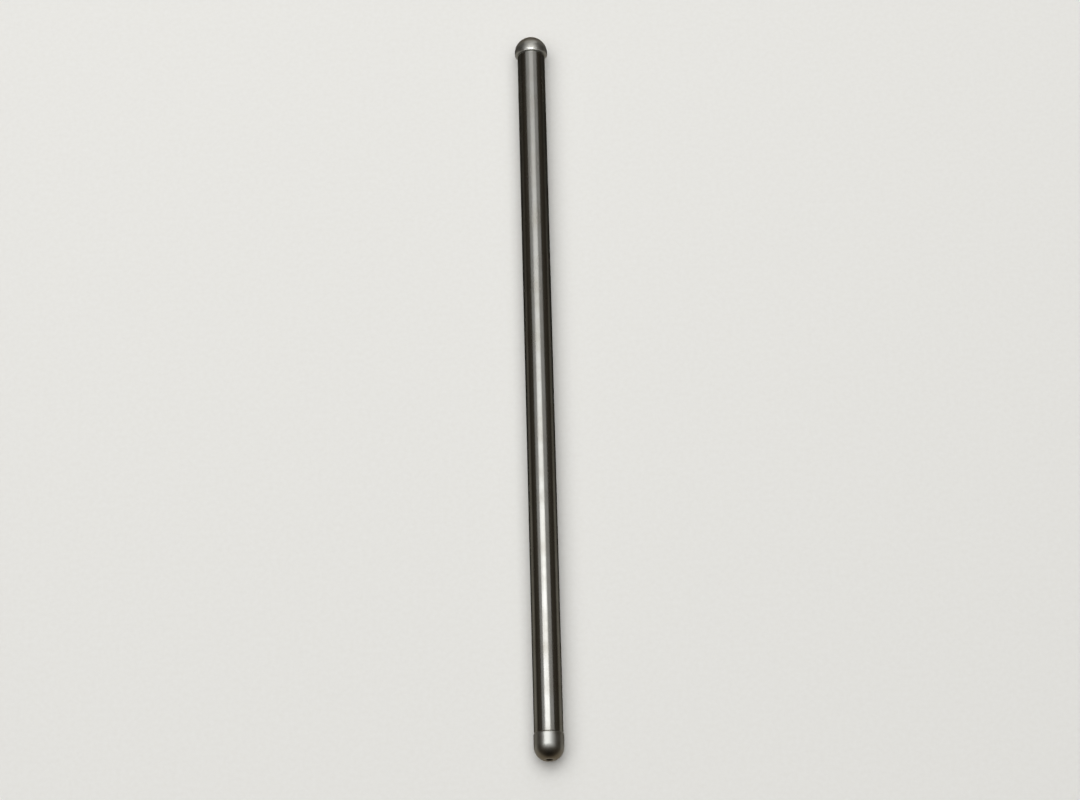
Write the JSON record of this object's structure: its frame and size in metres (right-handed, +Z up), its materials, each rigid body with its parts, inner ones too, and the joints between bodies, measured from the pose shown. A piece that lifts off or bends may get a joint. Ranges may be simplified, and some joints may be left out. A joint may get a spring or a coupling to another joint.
{
  "type": "engine pushrod",
  "caption": "Straight hollow steel pushrod with a drilled, round-nosed end pressed into one mouth of its tube and a larger drilled ball into the other, which carries valve lift from a lifter cup to a rocker cup.",
  "frame": {"origin": "under the middle of the rod's length, on the plane that the rocker ball touches when the rod lies along it", "axes": "+Y along the rod from the lifter end to the rocker ball, +Z up, +X across the rod"},
  "size_m": [0.0114, 0.26, 0.0114],
  "materials": {
    "tube": "ground bright, lightly oiled",
    "ball_ends": "turned, hardened and satin polished"
  },
  "bodies": {
    "root": {"pushrod_tube": "tube", "lifter_ball_end": "ball_ends", "rocker_ball_end": "ball_ends"}
  },
  "joints": []
}
